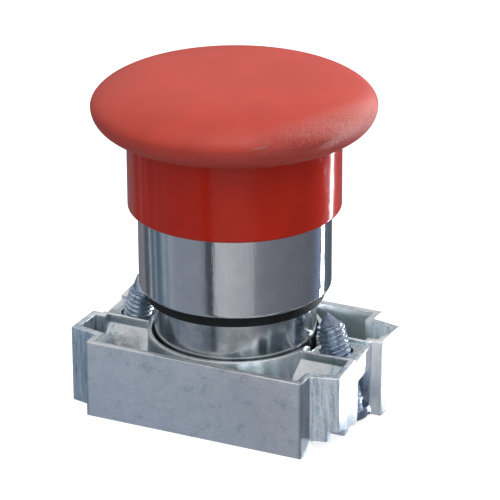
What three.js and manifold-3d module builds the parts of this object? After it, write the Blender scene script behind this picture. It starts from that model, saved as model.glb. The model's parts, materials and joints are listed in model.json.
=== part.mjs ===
// Mushroom-head emergency stop operator for a standard 22.5 mm panel hole, with its cast mounting collar.
// Millimetres, +Z up. The origin is the centre of the collar's underside, +X runs along the collar's length
// from screw to screw, and the button's axis is Z.
import * as THREE from "three";
import { mergeVertices } from "three/addons/utils/BufferGeometryUtils.js";
import Module from "manifold-3d";

const wasm = await Module();
wasm.setup();

// Clearances
const seatGap = 0.3; // between pieces that are fixed to each other
const faceGap = 0.1; // between faces that are clamped together
const runGap = 0.15; // radial clearance of the stem in its bush
const slideGap = 0.45; // radial clearance of the red skirt over the bezel
const stackGap = 0.2; // between pieces stacked along the axis

// Panel fit
const panelHole = 22.5; // panel cut-out diameter
const barrelR = panelHole / 2 - 0.1; // barrel through the cut-out
const panelGap = 5.2; // from the collar's rim to the gasket

// Mounting collar
const collarH = 11.0; // height
const coreX = 16.2; // half length of the wide middle
const coreY = 13.5; // half width of the wide middle
const longX = 20.4; // reach of the full-height tab at each end
const shortX = 20.12; // reach of the notched tab at each end
const flankIn = 10.7; // half width of the tabs where they leave the middle
const flankOut = 9.8; // half width of the tabs at their ends
const wall = 1.0; // perimeter wall
const floorZ = 3.6; // underside of the web that joins the ring to the walls
const floorT = 1.2; // thickness of that web
const ringGap = 0.4; // between the barrel and the collar's ring
const ringWall = 0.6; // wall of the ring around the barrel
const blockY = 3.5; // half width of a screw block at its top
const blockFlare = 2.3; // how far the block's sloping sides spread below the strip
const flareH = 3.3; // height of those slopes
const blockUnder = 0.95; // how much wider than the strip the block is under the floor
const blockStrip = 1.2; // height of the narrow top strip
const blockDrop = 0.6; // how far the block's top lies below the rim
const blockX = 18.9; // reach of a screw block, where its end face meets the full-height tab
const lipT = 0.45; // thin lips along the block's top
const slotLow = -2.1; // the screw slot in the end face, from this y ...
const slotHigh = 3.2; // ... to this y
const slotH = 7.3; // height of the screw slot
const endNotchZ = 3.2; // height of the notch under the short tab's corner
const endNotchX = 18.5; // where that notch begins
const endSlopeZ = 1.2; // the end face's lower edge slopes down to this height at the slot
const sideNotchZ = 1.6; // height of the shallower notch in the tab's flank

// Clamp screws
const screwR = 1.95; // thread
const screwHeadR = 2.7;
const screwHeadT = 1.5;
const screwTilt = THREE.MathUtils.degToRad(15); // heads lean outwards
const screwX = 15.2; // where the axis crosses the height screwZ
const screwZ = 10.4;
const screwTop = 5.9; // from there to the point, along the axis
const screwHeadAt = -8.45; // from there to the head's inner face
const pointL = 2.2; // length of the faceted point
const pointLean = 1.3; // the point stands off the axis by this much
const pointTurnRight = THREE.MathUtils.degToRad(-60); // which way each screw's point has come to rest
const pointTurnLeft = THREE.MathUtils.degToRad(206);
const screwHeadEdge = 0.5; // chamfer round the head
const driveSlot = 0.9; // width of the screwdriver slot
const driveDepth = 0.7;

// Bayonet between barrel and collar
const lugReach = 1.0; // how far a lug stands out of the barrel
const lugH = 1.5;
const lugHalf = THREE.MathUtils.degToRad(7);
const lugAt = THREE.MathUtils.degToRad(-45);
const lugRoom = 0.2; // beyond a lug in its entry notch
const entryShare = 1.15; // an entry notch is this much wider than a lug

// Barrel and bezel
const barrelZ = 1.6; // lower end of the barrel
const barrelWall = 1.25;
const webZ = 15.4; // web inside the barrel
const webT = 2.0;
const bezelWall = 1.74; // bezel ring over the barrel
const bezelH = 15.25;
const bezelRound = 0.6; // rounding of the bezel's lower edge
const bezelTopRound = 0.5; // and of its upper edge
const bezelOver = 1.0; // the bezel stands this much above the barrel
const gasketT = 1.45;
const gasketInset = 0.9; // the gasket stays this much inside the bezel

// Red head
const travel = 5.5; // press depth
const bezelShown = 11.5; // bezel height seen below the skirt
const skirtH = 11.15;
const skirtWall = 0.9;
const skirtFlange = 1.0; // thickness of its flange under the cap
const skirtFlangeReach = 1.0; // inside the cap's hollow
const skirtLip = 0.2; // chamfer round its lower edge
const capR = 19.28; // widest radius of the mushroom
const capRise = 7.5; // from the mushroom's lower face to its top
const capEdge = 3.3; // from the lower face to the widest place
const capRoll = 3.8; // how far the rolled edge turns in under the cap
const capHollow = 3.4; // depth of the hollow under the cap
const crownOut = 0.55; // exponents of the crown's superellipse, outwards ...
const crownUp = 1.12; // ... and upwards
const bossR = 5.5;
const bossL = 5.5; // boss below the hollow
const bossSkin = 0.4; // above the hole in the boss

// Stem and what is on it
const stemR = 3.0;
const studR = 1.6;
const insertR = 3.5;
const insertRoom = 0.5; // above the insert
const studRoom = 0.8; // above the stud
const nutAcross = 7.0;
const nutT = 1.9;
const washerR = 4.2;
const washerT = 0.6;
const cupT = 1.0;
const cupRim = 2.2; // depth of the spring cup's rim
const cupWall = 0.5; // wall of that rim
const spigotR = 2.0; // lower end of the stem
const spigotEnd = 0.8; // below the clip
const clipGrooveDepth = 0.5;
const latchGrooveDepth = 0.45;
const footClear = 1.7; // between the foot and the barrel's bore
const footT = 1.6;
const footHubR = 4.2;
const footHubT = 1.1;
const footDrop = 2.0; // the foot hangs this far below the latch housing
const clipT = 0.4;
const clipR = 3.4;
const clipHalf = 0.86 * Math.PI; // half of the angle that the clip spans

// Spring, bush, seal and latch
const springWire = 0.55; // wire radius
const springTurns = 6;
const bushShare = 0.54; // the bush's wall takes this share of the room between stem and seal retainer
const bushL = 4.0;
const bushFlangeT = 1.0;
const sealT = 2.0;
const sealBaseT = 0.8; // the seal's web between its two lips
const springClear = 0.55; // between the return spring and the seal retainer
const retainerWall = 0.6;
const latchT = 2.8;
const latchWire = 0.4;
const latchLeg = 6.5; // length of the hairpin's legs
const latchWindow = 1.4; // height of the window that the wire lies in

// Places worked out from the sizes above
const ringR = barrelR + ringGap;
const gasketZ = collarH + panelGap;
const bezelZ = gasketZ + gasketT;
const bezelR = barrelR + seatGap + bezelWall;
const bezelTop = bezelZ + bezelH;
const barrelTop = bezelTop - bezelOver;
const boreR = barrelR - barrelWall;
const footR = boreR - footClear;
const skirtZ = bezelZ + bezelShown;
const skirtInR = bezelR + slideGap;
const skirtR = skirtInR + skirtWall;
const capHollowR = skirtInR - 1.05;
const capZ = skirtZ + skirtH;
const hollowZ = capZ + capHollow;
const bossZ = hollowZ - bossL;
const bossHoleTop = hollowZ - bossSkin;
const nutZ = bossZ - seatGap - nutT;
const washerZ = nutZ - stackGap - washerT;
const cupZ = washerZ - stackGap - cupT;
const shoulderZ = cupZ - stackGap;
const cupR = boreR - seatGap;
const webTop = webZ + webT;
const springZ = webTop + stackGap;
const springTop = cupZ - stackGap;
const springMeanR = cupR - cupWall - 0.25 - springWire;
const retainerR = springMeanR - springWire - springClear;
const bushFlangeR = retainerR - retainerWall - 0.2;
const bushR = stemR + runGap + bushShare * (bushFlangeR - stemR - runGap);
const sealR = bushFlangeR - 0.3;
const sealZ = webTop + faceGap + bushFlangeT + stackGap;
const latchZ = webZ - seatGap - latchT;
const footTop = latchZ - footDrop;
const spigotTop = footTop + seatGap;
const footZ = footTop - footHubT - footT;
const clipZ = footZ - seatGap - clipT;
const stemZ = clipZ - spigotEnd;
const ROUND = 48; // facets round the outer pieces
const FINE = 24; // facets round the inner pieces

// ---- Shared geometry helpers ----

function box(x0, x1, y0, y1, z0, z1) {
  const g = new THREE.BoxGeometry(x1 - x0, y1 - y0, z1 - z0);
  g.translate((x0 + x1) / 2, (y0 + y1) / 2, (z0 + z1) / 2);
  return g;
}

function prism(shape, z0, z1) {
  const g = new THREE.ExtrudeGeometry(shape, { depth: z1 - z0, bevelEnabled: false, curveSegments: 12 });
  g.translate(0, 0, z0);
  return g;
}

function shapeOf(points) {
  return new THREE.Shape(points.map(([x, y]) => new THREE.Vector2(x, y)));
}

// Turned piece: a profile of [radius, height] pairs, on the axis at both ends or closed on itself.
function turned(profile, facets = FINE) {
  let area = 0;
  profile.forEach(([r, z], i) => {
    const [rn, zn] = profile[(i + 1) % profile.length];
    area += r * zn - rn * z;
  });
  const ordered = area > 0 ? profile : [...profile].reverse();
  const g = new THREE.LatheGeometry(ordered.map(([r, z]) => new THREE.Vector2(r, z)), facets);
  g.rotateX(Math.PI / 2);
  return g;
}

function rod(r, z0, z1, facets = FINE) {
  return turned([[0, z0], [r, z0], [r, z1], [0, z1]], facets);
}

function tube(rIn, rOut, z0, z1, facets = FINE) {
  return turned([[rIn, z0], [rOut, z0], [rOut, z1], [rIn, z1], [rIn, z0]], facets);
}

// Points along an arc in the radius-height plane, angles in degrees.
function arc(cr, cz, r, from, to, steps) {
  return Array.from({ length: steps + 1 }, (_, i) => {
    const a = THREE.MathUtils.degToRad(from + ((to - from) * i) / steps);
    return [cr + r * Math.cos(a), cz + r * Math.sin(a)];
  });
}

// A sector of a ring in plan.
function sector(rIn, rOut, middle, half, z0, z1) {
  const shape = new THREE.Shape();
  shape.absarc(0, 0, rOut, middle - half, middle + half, false);
  shape.absarc(0, 0, rIn, middle + half, middle - half, true);
  shape.closePath();
  return prism(shape, z0, z1);
}

function solid(geometry) {
  const g = geometry.clone();
  g.deleteAttribute("normal");
  g.deleteAttribute("uv");
  const m = mergeVertices(g, 1e-4);
  const vertProperties = m.attributes.position.array;
  const triVerts = new Uint32Array(m.index.array);
  return new wasm.Manifold(new wasm.Mesh({ numProp: 3, vertProperties, triVerts }));
}

function geometryOf(manifold) {
  const mesh = manifold.getMesh();
  const g = new THREE.BufferGeometry();
  g.setAttribute("position", new THREE.BufferAttribute(mesh.vertProperties, 3));
  g.setIndex(new THREE.BufferAttribute(mesh.triVerts, 1));
  return g;
}

function join(...geometries) {
  return geometries.map(solid).reduce((a, b) => a.add(b));
}

// ---- Mounting collar ----

// One end of the outline, from the front wall to the back wall: the short tab, the screw block's face,
// the long tab.
function endPlan(inset) {
  return [
    [coreX - inset, inset - coreY], [coreX - inset, inset - flankIn], [shortX - inset, inset - flankOut],
    [blockX - inset, blockY + inset], [longX - inset, blockY + inset], [longX - inset, flankOut - inset],
    [coreX - inset, flankIn - inset], [coreX - inset, coreY - inset],
  ];
}

// The whole outline: both ends are the same, turned half round.
function collarPlan(inset) {
  const end = endPlan(inset);
  return shapeOf([...end, ...end.map(([x, y]) => [-x, -y])]);
}

// The solid that carries one clamp screw, on the +X end, reaching past the end face.
function screwBlock() {
  const stripZ = collarH - blockStrip;
  const footY = blockY + blockFlare;
  const underY = blockY + blockUnder;
  const webZ = floorZ + floorT / 2;
  const half = [
    [underY, 0], [underY, webZ], [footY, webZ], [footY, stripZ - flareH], [blockY, stripZ], [blockY, collarH],
  ];
  const section = shapeOf([...half, ...half.map(([y, z]) => [-y, z]).reverse()]);
  const g = prism(section, 0, longX - ringR + 0.5);
  g.rotateX(Math.PI / 2);
  g.rotateZ(Math.PI / 2);
  g.translate(ringR - 0.5, 0, 0);
  return solid(g);
}

function screwMatrix(side) {
  const m = new THREE.Matrix4().makeRotationY(-side * screwTilt);
  m.setPosition(side * screwX, 0, screwZ);
  return m;
}

// Everything that is cut away around one clamp screw, on the +X end.
function screwCuts() {
  const past = longX + 1;
  const lipY = blockY - lipT;
  const hole = rod(screwR + seatGap, -screwTop, screwTop);
  hole.applyMatrix4(screwMatrix(1));
  const head = rod(screwHeadR + seatGap, -screwZ - 8, screwHeadAt + 1.5, 24);
  head.applyMatrix4(screwMatrix(1));
  const edge = [
    [-coreY, -1], [slotLow, -1], [slotLow, endSlopeZ], [-flankOut, endNotchZ], [-coreY, endNotchZ],
  ];
  const lowerEdge = prism(shapeOf(edge), 0, past);
  lowerEdge.rotateX(Math.PI / 2);
  lowerEdge.rotateZ(Math.PI / 2);
  lowerEdge.translate(endNotchX, 0, 0);
  return join(
    hole,
    head,
    box(screwX - screwHeadR, past, slotLow, slotHigh, -1, slotH),
    box(ringR + ringWall, past, -lipY, lipY, collarH - blockDrop, collarH + 1),
    lowerEdge,
    box(coreX, endNotchX + 0.1, -coreY - 1, wall - flankIn + 1.1, -1, sideNotchZ),
  );
}

function mountingCollar() {
  const ring = solid(rod(ringR + ringWall, -1, collarH + 1, ROUND));
  const half = new THREE.Matrix4().makeRotationZ(Math.PI);
  const block = screwBlock().intersect(solid(prism(collarPlan(0), -1, collarH + 1)));
  const blocks = block.add(block.transform(half.elements));
  const inner = (z0, z1) => solid(prism(collarPlan(wall), z0, z1));
  const pockets = inner(floorZ + floorT, collarH + 1).subtract(ring).subtract(blocks);
  const under = inner(-1, floorZ).subtract(
    blocks.subtract(solid(rod(ringR + lugReach, -2, collarH + 2, ROUND))),
  );
  const cuts = screwCuts();
  const bore = solid(rod(ringR, -2, collarH + 2, ROUND));
  const entryR = barrelR + lugReach + lugRoom;
  const entry = (at) => solid(sector(ringR - 0.5, entryR, at, lugHalf * entryShare, floorZ - 1, collarH + 2));
  const body = solid(prism(collarPlan(0), 0, collarH))
    .subtract(pockets)
    .subtract(under)
    .subtract(bore)
    .subtract(entry(0))
    .subtract(entry(Math.PI))
    .subtract(cuts)
    .subtract(cuts.transform(half.elements));
  return geometryOf(body);
}

// ---- Clamp screws: pan head, thread shown plain, and a faceted point that bites the panel ----

function clampScrew(pointTurn) {
  const pointZ = screwTop - pointL;
  const headZ = screwHeadAt - screwHeadT;
  const shank = turned([
    [0, headZ], [screwHeadR - screwHeadEdge, headZ], [screwHeadR, headZ + screwHeadEdge],
    [screwHeadR, screwHeadAt], [screwR, screwHeadAt], [screwR, pointZ], [0, pointZ],
  ], 24);
  const point = new THREE.CylinderGeometry(0.05, screwR, pointL + 0.02, 6);
  point.rotateX(Math.PI / 2);
  point.translate(0, 0, pointZ + pointL / 2);
  const leanX = (pointLean * Math.cos(pointTurn)) / pointL;
  const leanY = (pointLean * Math.sin(pointTurn)) / pointL;
  const shear = new THREE.Matrix4().set(
    1, 0, leanX, -leanX * pointZ,
    0, 1, leanY, -leanY * pointZ,
    0, 0, 1, 0,
    0, 0, 0, 1,
  );
  point.applyMatrix4(shear);
  const past = screwHeadR + 1;
  const slot = box(-past, past, -driveSlot / 2, driveSlot / 2, headZ - 1, headZ + driveDepth);
  return geometryOf(join(shank, point).subtract(solid(slot)));
}

// ---- Fixed head: barrel, bezel, gasket and what the barrel holds ----

function barrel() {
  const body = turned([
    [boreR, barrelZ], [barrelR, barrelZ], [barrelR, barrelTop], [boreR, barrelTop],
    [boreR, webTop], [bushR + seatGap, webTop], [bushR + seatGap, webZ], [boreR, webZ], [boreR, barrelZ],
  ], ROUND);
  const lug = (at) => sector(barrelR - 0.5, barrelR + lugReach, at, lugHalf, barrelZ, barrelZ + lugH);
  return geometryOf(join(body, lug(lugAt), lug(lugAt + Math.PI)));
}

function bezelRing() {
  const inR = barrelR + seatGap;
  return turned([
    [inR, bezelZ],
    ...arc(bezelR - bezelRound, bezelZ + bezelRound, bezelRound, -90, 0, 4),
    ...arc(bezelR - bezelTopRound, bezelTop - bezelTopRound, bezelTopRound, 0, 90, 2),
    [inR, bezelTop],
    [inR, bezelZ],
  ], ROUND);
}

function panelGasket() {
  return tube(barrelR + seatGap, bezelR - gasketInset, gasketZ, bezelZ - faceGap, ROUND);
}

function guideBush() {
  const inR = stemR + runGap;
  const flangeZ = webTop + faceGap;
  return turned([
    [inR, webZ], [bushR, webZ], [bushR, flangeZ], [bushFlangeR, flangeZ],
    [bushFlangeR, flangeZ + bushFlangeT], [inR, flangeZ + bushFlangeT], [inR, webZ],
  ]);
}

// U-section lip seal around the stem.
function stemSeal() {
  const inR = stemR + runGap;
  const root = 0.3 * (sealR - inR);
  const tip = 0.7 * root;
  const top = sealZ + sealT;
  return turned([
    [inR, sealZ], [sealR, sealZ], [sealR, top], [sealR - tip, top], [sealR - root, sealZ + sealBaseT],
    [inR + root, sealZ + sealBaseT], [inR + tip, top], [inR, top], [inR, sealZ],
  ]);
}

// Pressed steel cap that holds the seal down.
function sealRetainer() {
  const inR = retainerR - retainerWall;
  const foot = webTop + faceGap;
  const top = sealZ + sealT + stackGap;
  const holeR = stemR + 0.5;
  return turned([
    [inR, foot], [retainerR, foot], [retainerR, top + retainerWall],
    [holeR, top + retainerWall], [holeR, top], [inR, top], [inR, foot],
  ]);
}

function returnSpring() {
  class Helix extends THREE.Curve {
    getPoint(t, target = new THREE.Vector3()) {
      const a = t * springTurns * 2 * Math.PI;
      const z = springZ + springWire + t * (springTop - springZ - 2 * springWire);
      return target.set(springMeanR * Math.cos(a), springMeanR * Math.sin(a), z);
    }
  }
  const section = new THREE.Shape();
  section.absarc(0, 0, springWire, 0, 2 * Math.PI, false);
  return new THREE.ExtrudeGeometry(section, {
    extrudePath: new Helix(), steps: springTurns * 14, curveSegments: 4, bevelEnabled: false,
  });
}

// Moulded carrier for the latch spring, with a window that the wire lies in.
function latchHousing() {
  const ring = solid(tube(stemR + 0.4, boreR - seatGap, latchZ, latchZ + latchT, FINE));
  const windowX = stemR + 1.6;
  const middle = latchZ + latchT / 2;
  const half = latchWindow / 2;
  const cut = solid(box(-windowX, windowX, -boreR, stemR + 2.4, middle - half, middle + half));
  return geometryOf(ring.subtract(cut));
}

// Hairpin of spring wire whose two legs straddle the stem.
function latchSpring() {
  const x = stemR + runGap + latchWire;
  const z = latchZ + latchT / 2;
  const bend = 8;
  const points = [new THREE.Vector3(-x, -latchLeg, z), new THREE.Vector3(-x, -latchLeg / 2, z)];
  for (let i = 0; i <= bend; i++) {
    const a = Math.PI - (i / bend) * Math.PI;
    points.push(new THREE.Vector3(x * Math.cos(a), x * Math.sin(a) + 0.6, z));
  }
  points.push(new THREE.Vector3(x, -latchLeg / 2, z), new THREE.Vector3(x, -latchLeg, z));
  const section = new THREE.Shape();
  section.absarc(0, 0, latchWire, 0, 2 * Math.PI, false);
  return new THREE.ExtrudeGeometry(section, {
    extrudePath: new THREE.CatmullRomCurve3(points), steps: 40, curveSegments: 4, bevelEnabled: false,
  });
}

// ---- Moving head: what goes down when the mushroom is pressed ----

// Outer profile of the mushroom, from the apex to the lower face: a full crown, a superellipse in section,
// that rolls over a thick elliptical edge.
function capOutline() {
  const edgeZ = capZ + capEdge;
  const crown = 9;
  const roll = 4;
  const points = [];
  for (let i = 0; i <= crown; i++) {
    const t = (Math.PI / 2) * (1 - i / crown);
    const r = capR * Math.pow(Math.cos(t), crownOut);
    points.push([r, edgeZ + (capRise - capEdge) * Math.pow(Math.sin(t), crownUp)]);
  }
  points[0][0] = 0;
  for (let i = 1; i <= roll; i++) {
    const t = ((Math.PI / 2) * i) / roll;
    points.push([capR - capRoll * (1 - Math.cos(t)), edgeZ - capEdge * Math.sin(t)]);
  }
  return points;
}

function mushroomCap() {
  return turned([
    ...capOutline(),
    [capHollowR, capZ], [capHollowR, hollowZ], [bossR, hollowZ], [bossR, bossZ],
    [insertR + seatGap, bossZ], [insertR + seatGap, bossHoleTop], [0, bossHoleTop],
  ], ROUND);
}

function skirtSleeve() {
  const top = capZ - seatGap;
  const flangeInR = capHollowR - skirtFlangeReach;
  return turned([
    [skirtInR, skirtZ], [skirtR - skirtLip, skirtZ], [skirtR, skirtZ + skirtLip], [skirtR, top],
    [flangeInR, top], [flangeInR, top - skirtFlange], [skirtInR, top - skirtFlange], [skirtInR, skirtZ],
  ], ROUND);
}

function capInsert() {
  return tube(studR + seatGap, insertR, bossZ, bossHoleTop - insertRoom);
}

function stemNut() {
  const hexagon = new THREE.Shape();
  const corner = nutAcross / Math.sqrt(3);
  for (let i = 0; i < 6; i++) {
    const a = (i * Math.PI) / 3;
    hexagon[i ? "lineTo" : "moveTo"](corner * Math.cos(a), corner * Math.sin(a));
  }
  hexagon.closePath();
  const hole = new THREE.Path();
  hole.absarc(0, 0, studR + seatGap, 0, 2 * Math.PI, true);
  hexagon.holes.push(hole);
  return prism(hexagon, nutZ, nutZ + nutT);
}

function stemWasher() {
  return tube(studR + seatGap, washerR, washerZ, washerZ + washerT);
}

// Pressed cup that the stem pushes the return spring with.
function springCup() {
  const inR = studR + seatGap;
  const top = cupZ + cupT;
  const rimZ = top - cupRim;
  return turned([
    [inR, cupZ], [cupR - cupWall, cupZ], [cupR - cupWall, rimZ], [cupR, rimZ],
    [cupR, top], [inR, top], [inR, cupZ],
  ]);
}

// Stem: threaded stud, guided shank with two latch grooves, and a spigot with a clip groove.
function plungerStem() {
  const grooveR = stemR - latchGrooveDepth;
  const latchMiddle = latchZ + latchT / 2;
  const groove = (z) => [[stemR, z - 0.7], [grooveR, z - 0.4], [grooveR, z + 0.4], [stemR, z + 0.7]];
  const clipGroove = spigotR - clipGrooveDepth;
  return turned([
    [0, stemZ], [spigotR, stemZ], [spigotR, clipZ - stackGap], [clipGroove, clipZ - stackGap],
    [clipGroove, clipZ + clipT + stackGap], [spigotR, clipZ + clipT + stackGap],
    [spigotR, spigotTop], [stemR, spigotTop],
    ...groove(latchMiddle),
    ...groove(latchMiddle + travel),
    [stemR, shoulderZ], [studR, shoulderZ], [studR, bossHoleTop - studRoom], [0, bossHoleTop - studRoom],
  ]);
}

// Moulded foot that pushes the contacts.
function plungerFoot() {
  const inR = spigotR + runGap;
  return turned([
    [inR, footZ], [footR, footZ], [footR, footZ + footT], [footHubR, footZ + footT],
    [footHubR, footTop], [inR, footTop], [inR, footZ],
  ]);
}

function footClip() {
  const inR = spigotR - clipGrooveDepth + runGap;
  return sector(inR, clipR, Math.PI / 2, clipHalf, clipZ, clipZ + clipT);
}

// ---- Finishes ----

function finish(color, roughness, metalness) {
  return () => new THREE.MeshStandardMaterial({ color, roughness, metalness });
}

const satinRed = finish(0xc1463f, 0.55, 0);
const glossRed = finish(0x9c2521, 0.18, 0);
const chrome = finish(0xb9bec6, 0.08, 1);
const castZinc = finish(0x9aa2ab, 0.42, 1);
const brightZinc = finish(0xa9b8c8, 0.3, 1);
const springSteel = finish(0x8f9499, 0.3, 1);
const brass = finish(0xb5924c, 0.3, 1);
const blackRubber = finish(0x191a1c, 0.8, 0);
const blackPlastic = finish(0x26282b, 0.5, 0);
const whitePlastic = finish(0xd8d8d2, 0.45, 0);

// ---- Assembly ----

const stopButton = new THREE.Group();

function add(name, geometry, material, matrix) {
  const mesh = new THREE.Mesh(geometry, material());
  mesh.name = name;
  if (matrix) mesh.applyMatrix4(matrix);
  stopButton.add(mesh);
}

add("mounting_collar", mountingCollar(), castZinc);
add("clamp_screw_right", clampScrew(pointTurnRight), brightZinc, screwMatrix(1));
add("clamp_screw_left", clampScrew(pointTurnLeft), brightZinc, screwMatrix(-1));
add("barrel", barrel(), chrome);
add("bezel_ring", bezelRing(), chrome);
add("panel_gasket", panelGasket(), blackRubber);
add("guide_bush", guideBush(), blackPlastic);
add("stem_seal", stemSeal(), blackRubber);
add("seal_retainer", sealRetainer(), brightZinc);
add("return_spring", returnSpring(), springSteel);
add("latch_housing", latchHousing(), blackPlastic);
add("latch_spring", latchSpring(), springSteel);
add("mushroom_cap", mushroomCap(), satinRed);
add("skirt_sleeve", skirtSleeve(), glossRed);
add("cap_insert", capInsert(), brass);
add("stem_nut", stemNut(), brightZinc);
add("stem_washer", stemWasher(), brightZinc);
add("spring_cup", springCup(), brightZinc);
add("plunger_stem", plungerStem(), springSteel);
add("plunger_foot", plungerFoot(), whitePlastic);
add("foot_clip", footClip(), springSteel);

export default stopButton;
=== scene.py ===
"""Emergency stop button with its mounting collar: the finished look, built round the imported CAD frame.

Lengths in the shape functions are millimetres in the frame's own axes, and become metres in mesh_piece.
"""
import json

import bmesh
import bpy
import numpy as np
from mathutils import Matrix, Vector


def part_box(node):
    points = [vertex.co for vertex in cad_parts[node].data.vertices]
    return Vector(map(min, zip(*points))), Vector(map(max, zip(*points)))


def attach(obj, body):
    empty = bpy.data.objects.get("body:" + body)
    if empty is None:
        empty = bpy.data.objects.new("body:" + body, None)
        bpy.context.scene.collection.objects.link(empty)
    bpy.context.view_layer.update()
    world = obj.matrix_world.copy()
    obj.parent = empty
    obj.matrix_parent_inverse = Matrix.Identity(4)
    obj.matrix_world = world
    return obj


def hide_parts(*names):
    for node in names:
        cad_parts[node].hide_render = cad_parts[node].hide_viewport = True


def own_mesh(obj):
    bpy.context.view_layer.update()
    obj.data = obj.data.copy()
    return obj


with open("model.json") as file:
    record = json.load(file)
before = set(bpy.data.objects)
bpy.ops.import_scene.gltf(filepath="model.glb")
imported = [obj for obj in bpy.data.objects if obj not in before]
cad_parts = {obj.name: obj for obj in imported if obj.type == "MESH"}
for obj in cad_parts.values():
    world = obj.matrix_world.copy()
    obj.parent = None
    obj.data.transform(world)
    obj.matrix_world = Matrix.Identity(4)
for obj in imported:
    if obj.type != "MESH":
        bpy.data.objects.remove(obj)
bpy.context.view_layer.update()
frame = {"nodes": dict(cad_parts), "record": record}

MM = 0.001
TAU = 2 * np.pi


# ---------------------------------------------------------------- places taken from the frame

def extent(node):
    """Outer radius, lowest z and highest z of a turned CAD node, in millimetres."""
    low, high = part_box(node)
    return (high.y - low.y) / 2 / MM, low.z / MM, high.z / MM


CAP_R, _, CAP_TOP = extent("mushroom_cap")
SKIRT_R, SKIRT_Z, SKIRT_TOP = extent("skirt_sleeve")
BEZEL_R, BEZEL_Z, BEZEL_TOP = extent("bezel_ring")
BARREL_R, BARREL_Z, BARREL_TOP = extent("barrel")
GASKET_R, GASKET_Z, _ = extent("panel_gasket")
INSERT_R, BOSS_Z, INSERT_TOP = extent("cap_insert")
NUT_R, NUT_Z, NUT_TOP = extent("stem_nut")
WASHER_R, WASHER_Z, WASHER_TOP = extent("stem_washer")
CUP_R, CUP_Z, CUP_TOP = extent("spring_cup")
STEM_R, STEM_Z, STEM_TOP = extent("plunger_stem")
FOOT_R, FOOT_Z, FOOT_TOP = extent("plunger_foot")
_, CLIP_Z, CLIP_TOP = extent("foot_clip")
BUSH_R, BUSH_Z, BUSH_TOP = extent("guide_bush")
SEAL_R, SEAL_Z, SEAL_TOP = extent("stem_seal")
RETAINER_R, RETAINER_Z, RETAINER_TOP = extent("seal_retainer")
SPRING_R, SPRING_Z, SPRING_TOP = extent("return_spring")
_, LATCH_Z, LATCH_TOP = extent("latch_housing")
_, COLLAR_Z, COLLAR_TOP = extent("mounting_collar")
CAP_EDGE = 3.3  # from the cap's lower face to its widest place
CAP_ROLL = 3.8  # how far the rolled edge turns in
CAP_FACE = SKIRT_TOP + 0.3  # the cap's lower face
HOLLOW_R = SKIRT_R - 1.95
HOLLOW_TOP = CAP_FACE + 3.4
BOSS_R = INSERT_R + 2.0


# ---------------------------------------------------------------- mesh makers

def mesh_piece(name, vertices, faces, smooth=True):
    """A new object from vertices in millimetres and a list or array of faces."""
    mesh = bpy.data.meshes.new(name)
    mesh.from_pydata((np.asarray(vertices, float) * MM).tolist(), [], [list(map(int, f)) for f in faces])
    mesh.validate()
    mesh.update()
    mesh.polygons.foreach_set("use_smooth", np.full(len(mesh.polygons), smooth))
    piece = bpy.data.objects.new(name, mesh)
    bpy.context.scene.collection.objects.link(piece)
    return piece


def grid_faces(rows, columns, wrap_rows=False):
    """Quads of a grid whose columns close on themselves, and whose rows may too."""
    last = rows if wrap_rows else rows - 1
    i, j = np.meshgrid(np.arange(last), np.arange(columns), indexing="ij")
    below, beside = (i + 1) % rows, (j + 1) % columns
    this, under = i * columns, below * columns
    quads = np.stack([this + j, this + beside, under + beside, under + j], -1)
    return quads.reshape(-1, 4)


def outward(piece):
    """Merges doubles and turns every face outwards."""
    bm = bmesh.new()
    bm.from_mesh(piece.data)
    bmesh.ops.remove_doubles(bm, verts=bm.verts, dist=1e-7)
    bmesh.ops.recalc_face_normals(bm, faces=bm.faces)
    bm.to_mesh(piece.data)
    bm.free()
    return piece


def sharpen(piece, angle=35.0):
    """Smooth shading that breaks at edges steeper than the angle, in degrees."""
    piece.data.polygons.foreach_set("use_smooth", np.ones(len(piece.data.polygons), bool))
    piece.data.set_sharp_from_angle(angle=np.radians(angle))
    return piece


def surface(name, points, wrap_rows=False):
    """A closed piece from points in rows and columns: the columns close, and the end rows get a cap.

    Where the rows don't close on themselves each end row is closed by a fan to its own middle point.
    """
    rows, columns, _ = points.shape
    vertices = points.reshape(-1, 3)
    faces = grid_faces(rows, columns, wrap_rows).tolist()
    if not wrap_rows:
        ring = np.arange(columns)
        vertices = np.vstack([vertices, points[0].mean(0), points[-1].mean(0)])
        first, last = rows * columns, rows * columns + 1
        start = (rows - 1) * columns
        faces += np.stack([np.full(columns, first), (ring + 1) % columns, ring], -1).tolist()
        faces += np.stack([np.full(columns, last), start + ring, start + (ring + 1) % columns], -1).tolist()
    return sharpen(outward(mesh_piece(name, vertices, faces)))


def rounded(corners, step=4):
    """A profile from [r, z, radius] corners: a corner with a radius becomes an arc that touches both sides.

    The arc is a circle through the two points that lie radius / tan(half the corner's angle) along its
    sides, drawn by turning from one side's normal to the other's.
    """
    c = np.array([corner[:2] for corner in corners], float)
    out = []
    count = len(c)
    for k in range(count):
        radius = corners[k][2] if len(corners[k]) > 2 else 0.0
        before, after = c[k - 1] - c[k], c[(k + 1) % count] - c[k]
        la, lb = np.hypot(*before), np.hypot(*after)
        if radius <= 0 or la < 1e-9 or lb < 1e-9:
            out.append(c[k][None])
            continue
        a, b = before / la, after / lb
        half = np.arccos(np.clip(a @ b, -1, 1)) / 2
        reach = min(radius / np.tan(half), 0.49 * la, 0.49 * lb)
        radius = reach * np.tan(half)
        middle = c[k] + (a + b) / np.hypot(*(a + b)) * radius / np.sin(half)
        u, v = c[k] + a * reach - middle, c[k] + b * reach - middle
        sweep = np.arctan2(u[0] * v[1] - u[1] * v[0], u @ v)
        t = np.linspace(0, sweep, step + 2)
        turned_r = u[0] * np.cos(t) - u[1] * np.sin(t)
        turned_z = u[0] * np.sin(t) + u[1] * np.cos(t)
        out.append(middle + np.stack([turned_r, turned_z], -1))
    return np.vstack(out)


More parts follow.
